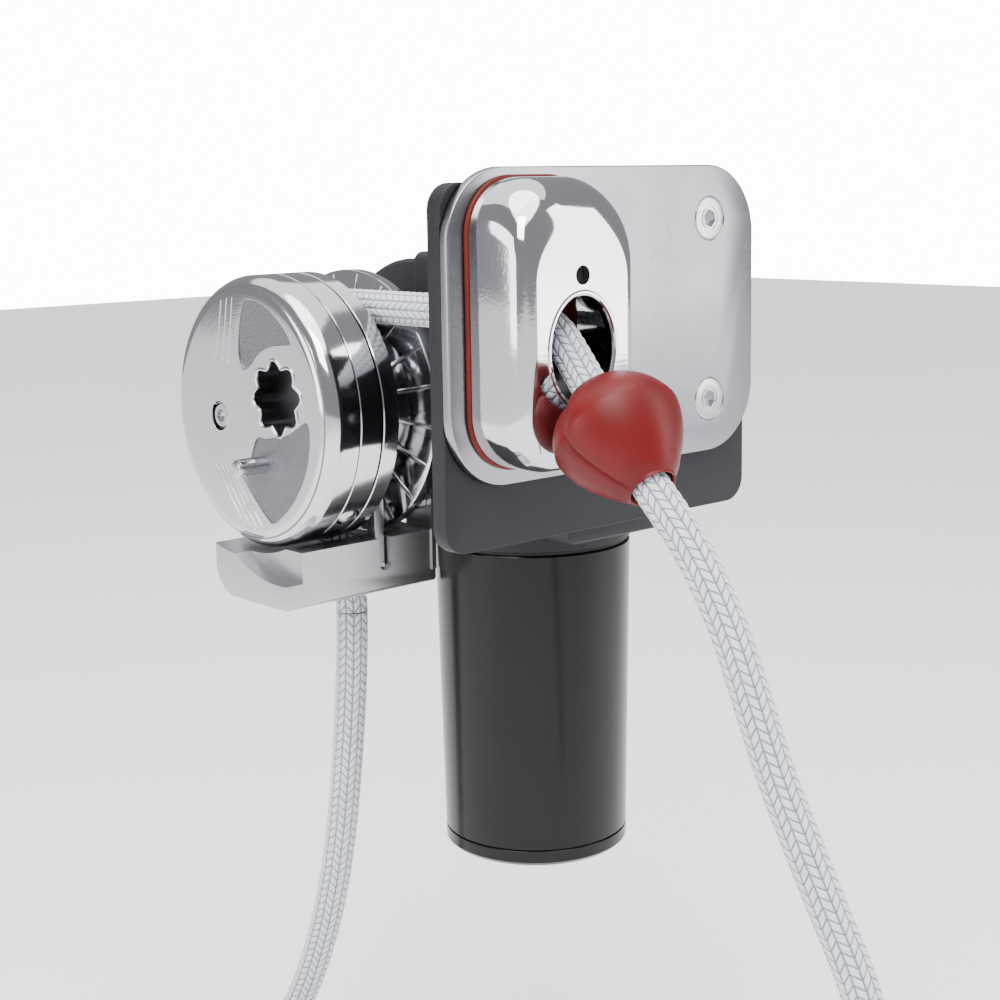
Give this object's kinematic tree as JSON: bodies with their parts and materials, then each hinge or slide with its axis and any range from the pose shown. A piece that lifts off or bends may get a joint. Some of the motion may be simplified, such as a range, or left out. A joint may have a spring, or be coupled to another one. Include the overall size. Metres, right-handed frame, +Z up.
{
  "type": "rope windlass",
  "caption": "Through-bulkhead rope windlass: hood and plates outboard; gypsy with clutch, stripper and gearmotor inboard; rope with a ball stopper and a coil.",
  "frame": {"origin": "on the backing plate's hull face, on the strip below the face plate, at mid-width", "axes": "-Y outboard, the hull face's outward normal; +Y into the boat; +Z up; +X along the plate towards the motor's side"},
  "size_m": [0.2855, 0.4073, 0.469],
  "materials": {
    "polished_stainless": "polished stainless steel",
    "satin_stainless": "satin stainless steel",
    "dark_plate": "dark grey coating",
    "gearbox_paint": "dark grey paint on a casting",
    "motor_paint": "satin black paint",
    "red_rubber": "red rubber",
    "black_plastic": "black plastic",
    "black_rubber": "black rubber",
    "bronze": "bronze",
    "steel": "machined steel",
    "copper": "copper windings and terminals",
    "magnet": "ferrite",
    "rope": "white double-braid rope"
  },
  "bodies": {
    "base": {"backing_plate": "dark_plate", "face_plate": "polished_stainless", "hood": "polished_stainless", "hood_gasket": "red_rubber", "rope_saddle": "black_plastic", "plate_screw_lower": "satin_stainless", "plate_screw_upper": "satin_stainless", "plate_nut_lower": "satin_stainless", "plate_nut_upper": "satin_stainless", "hood_stud_lower": "satin_stainless", "hood_stud_upper": "satin_stainless", "hood_nut_lower": "satin_stainless", "hood_nut_upper": "satin_stainless", "gearbox_housing": "gearbox_paint", "gearbox_cover": "gearbox_paint", "cover_gasket": "black_rubber", "cover_bolt_1": "steel", "cover_bolt_2": "steel", "cover_bolt_3": "steel", "cover_bolt_4": "steel", "housing_screw_1": "steel", "housing_screw_2": "steel", "housing_screw_3": "steel", "housing_screw_4": "steel", "shaft_bearing_left": "steel", "shaft_bearing_right": "steel", "shaft_seal": "black_rubber", "worm_bearing_lower": "steel", "worm_bearing_upper": "steel", "stripper_bracket": "satin_stainless", "stripper_finger": "satin_stainless", "bracket_bolt_1": "satin_stainless", "bracket_bolt_2": "satin_stainless", "motor_housing": "motor_paint", "motor_end_cap": "motor_paint", "motor_gasket": "black_rubber", "motor_magnets": "magnet", "terminal_stud_1": "copper", "terminal_stud_2": "copper", "rope_outboard": "rope", "rope_inboard": "rope", "rope_locker": "rope", "rope_coil": "rope", "rope_thimble": "polished_stainless", "ball_half_upper": "red_rubber", "ball_half_lower": "red_rubber", "ball_screw_1": "satin_stainless", "ball_screw_2": "satin_stainless"},
    "shaft": {"main_shaft": "steel", "worm_wheel": "bronze", "wheel_key": "steel", "clutch_ring": "polished_stainless", "ring_stud": "polished_stainless"},
    "gypsy": {"gypsy_inner_half": "polished_stainless", "gypsy_outer_half": "polished_stainless"},
    "cap": {"clutch_cap": "polished_stainless", "cap_screw": "satin_stainless", "release_peg": "polished_stainless"},
    "worm": {"worm_shaft": "steel", "armature": "copper"}
  },
  "joints": [
    {"name": "worm_spin", "type": "hinge", "parent": "base", "child": "worm", "pos_m": [0.018, 0.0585, 0], "axis": [0, 0, 1], "continuous": true},
    {"name": "shaft_spin", "type": "hinge", "parent": "base", "child": "shaft", "pos_m": [0, 0.107, 0.0286], "axis": [1, 0, 0], "continuous": true},
    {"name": "gypsy_freewheel", "type": "hinge", "parent": "shaft", "child": "gypsy", "pos_m": [0, 0.107, 0.0286], "axis": [1, 0, 0], "continuous": true},
    {"name": "cap_release", "type": "hinge", "parent": "shaft", "child": "cap", "pos_m": [0, 0.107, 0.0286], "axis": [1, 0, 0], "range_deg": [0, 150]}
  ],
  "couplings": [
    {"joint": "shaft_spin", "follows": "worm_spin", "ratio": 0.025}
  ]
}
